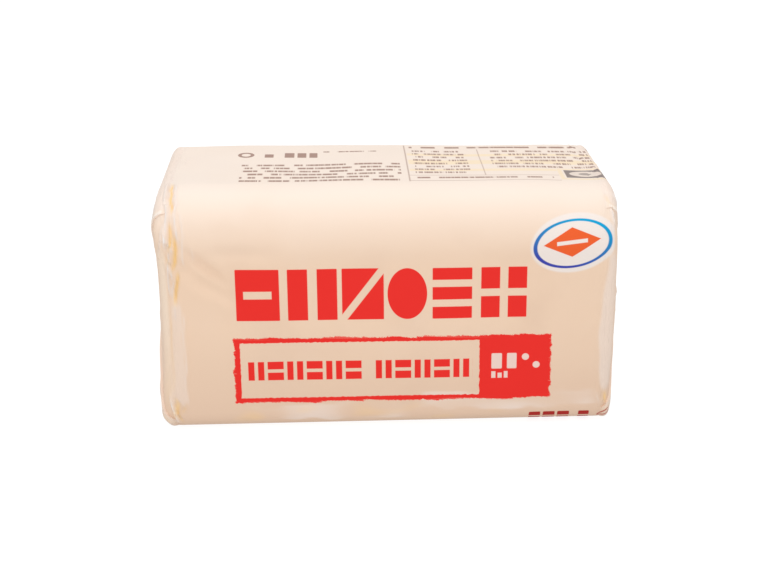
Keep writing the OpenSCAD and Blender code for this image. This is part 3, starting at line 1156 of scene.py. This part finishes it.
        # Painted highlight: glint ink where the pearly share is strongest, on raised ridges, folded hems and crinkles
        colour = w.mix(w.math("MULTIPLY_ADD", pearl, 4.5, -3.5, clamp=True), colour, solid(self.inks.glint))
        colour = w.mix(w.math("MULTIPLY", yellow, 1.2, clamp=True) * 0.80, colour, solid(self.inks.yellow))
        for share, ink in ((stripes * 0.65, self.inks.stripe), (field * 0.9, self.inks.badge),
                           (w.any_of([brown, under]), self.inks.brown), (seal * 0.85, self.inks.stamp),
                           (reds, self.inks.red), (marks, self.inks.pale), (deep, self.inks.deep_red),
                           (lozenge, self.inks.orange)):
            colour = w.mix(share, colour, solid(ink))
        blue = w.mix(shade, solid(self.inks.blue_dark), solid(self.inks.blue_light))
        colour = w.mix(ring, colour, blue)
        w.feed(surface.inputs["Base Color"], colour)
        film = self.film
        for socket, value in (("Roughness", film.roughness), ("Specular IOR Level", film.specular),
                              ("Coat Weight", film.coat), ("Coat Roughness", film.coat_roughness)):
            surface.inputs[socket].default_value = value
        bump = w.node("ShaderNodeBump")
        bump.inputs["Strength"].default_value = film.bump
        bump.inputs["Distance"].default_value = film.bump_depth
        height = w.noise(55.0, 2.0, where=place) * 0.6 + w.noise(260.0, 1.0, where=place) * 0.06
        stretch = w.node("ShaderNodeCombineXYZ")
        w.feed(stretch.inputs[0], u)
        w.feed(stretch.inputs[1], v * 0.22)
        crinkle = w.noise(0.85, 2.0, where=Value(w, stretch.outputs[0]))
        near = w.math("MULTIPLY_ADD", abs(u), 0.45, -22.0, clamp=True) * w.math("LESS_THAN", abs(u), 100.0)
        height = height + abs(crinkle - 0.5) * near * -2.2
        w.feed(bump.inputs["Height"], height)
        tree.links.new(bump.outputs[0], surface.inputs["Normal"])
        return made


@dataclass(frozen=True)
class Lamp:
    """A soft square light aimed at the block."""

    name: str
    place: tuple[float, float, float]
    size: float
    power: float
    colour: Colour = (1.0, 1.0, 1.0)


@dataclass
class Studio:
    """The plain bright surroundings and the camera.

    Attributes:
        lamps: The lights.
        world: Strength of the surroundings as a light.
        world_seen: Their strength to look at.
        floor_grey: The floor's own tone.
        floor_glow: How strongly it glows to look at.
        floor_bounce: The share of that glow that reaches the block.
        eye: The camera's place in millimetres.
        right: Its direction to the right.
        ahead: Its direction of view.
        lens: Its focal length in millimetres.
    """

    lamps: tuple[Lamp, ...] = (
        Lamp("lamp_top", (0.0, 0.16, 1.30), 1.1, 8.75),
        Lamp("lamp_front", (-0.05, -0.48, 0.17), 0.34, 0.69),
        Lamp("lamp_left", (-0.85, -0.12, 0.08), 0.5, 1.0),
        Lamp("lamp_right", (0.85, -0.20, 0.08), 0.5, 1.05),
    )
    world: float = 0.57
    world_seen: float = 1.02
    floor_grey: float = 0.20
    floor_glow: float = 0.88
    floor_bounce: float = 0.585
    eye: tuple[float, float, float] = (-11.89, -365.38, 156.12)
    right: tuple[float, float, float] = (0.9993, -0.0361, -0.0084)
    ahead: tuple[float, float, float] = (0.0312, 0.9410, -0.3371)
    lens: float = 71.706

    def floor(self) -> bpy.types.Object:
        """A wide pale floor."""
        bm = bmesh.new()
        bmesh.ops.create_grid(bm, x_segments=1, y_segments=1, size=4.0)
        mesh = bpy.data.meshes.new("floor")
        bm.to_mesh(mesh)
        bm.free()
        finish = bpy.data.materials.new("pale_floor")
        finish.use_nodes = True
        surface = finish.node_tree.nodes["Principled BSDF"]
        surface.inputs["Base Color"].default_value = grey(self.floor_grey)
        surface.inputs["Roughness"].default_value = 0.9
        surface.inputs["Specular IOR Level"].default_value = 0.1
        w = Wires(finish.node_tree)
        seen = Value(w, w.node("ShaderNodeLightPath").outputs["Is Camera Ray"])
        w.feed(surface.inputs["Emission Color"], w.mix(seen, grey(self.floor_bounce), grey(1.0)))
        surface.inputs["Emission Strength"].default_value = self.floor_glow
        mesh.materials.append(finish)
        piece = bpy.data.objects.new("floor", mesh)
        bpy.context.scene.collection.objects.link(piece)
        return piece

    def light(self) -> None:
        """Make the lights and the white surroundings."""
        scene = bpy.context.scene
        world = bpy.data.worlds.new("white_room")
        world.use_nodes = True
        back = world.node_tree.nodes["Background"]
        back.inputs["Color"].default_value = grey(1.0)
        # White to look at, softer as a light
        w = Wires(world.node_tree)
        seen = Value(w, w.node("ShaderNodeLightPath").outputs["Is Camera Ray"])
        w.feed(back.inputs["Strength"], seen * (self.world_seen - self.world) + self.world)
        scene.world = world
        for lamp in self.lamps:
            data = bpy.data.lights.new(lamp.name, "AREA")
            data.size = lamp.size
            data.energy = lamp.power
            data.color = lamp.colour
            piece = bpy.data.objects.new(lamp.name, data)
            piece.location = lamp.place
            piece.rotation_euler = (Vector((0, 0, 0.03)) - Vector(lamp.place)).to_track_quat("-Z", "Y").to_euler()
            piece.visible_camera = False
            scene.collection.objects.link(piece)

    def camera(self) -> None:
        """Set the camera."""
        scene = bpy.context.scene
        data = bpy.data.cameras.new("camera")
        data.sensor_width = 36.0
        data.lens = self.lens
        data.clip_start = 0.01
        piece = bpy.data.objects.new("camera", data)
        ahead = Vector(self.ahead).normalized()
        across = (Vector(self.right) - ahead * Vector(self.right).dot(ahead)).normalized()
        up = across.cross(ahead)
        turn = Matrix((across, up, -ahead)).transposed()
        piece.matrix_world = Matrix.Translation(Vector(self.eye) * MM) @ turn.to_4x4()
        scene.collection.objects.link(piece)
        scene.camera = piece

    def colours(self) -> None:
        """Show the scene's colours plainly."""
        scene = bpy.context.scene
        scene.view_settings.view_transform = "Standard"
        scene.view_settings.look = "None"
        scene.view_settings.exposure = 0.0
        scene.view_settings.gamma = 1.0


def main() -> None:
    """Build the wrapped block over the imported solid."""
    logging.basicConfig(level=logging.INFO, format="%(name)s: %(message)s")
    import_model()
    low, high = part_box(NODE)
    wrapper = Wrapper(SoftBrick(Vector(low), Vector(high)))
    skin = wrapper.build()
    pieces = [skin] + Folds(wrapper, skin).build()
    film = PrintShop(Inks(), Film()).material()
    for piece in pieces:
        piece.data.materials.append(film)
        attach(piece, BODY)
        log.info("%s: %d faces", piece.name, len(piece.data.polygons))
    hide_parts(NODE)
    studio = Studio()
    studio.floor()
    studio.light()
    studio.camera()
    studio.colours()


if __name__ == "__main__":
    main()
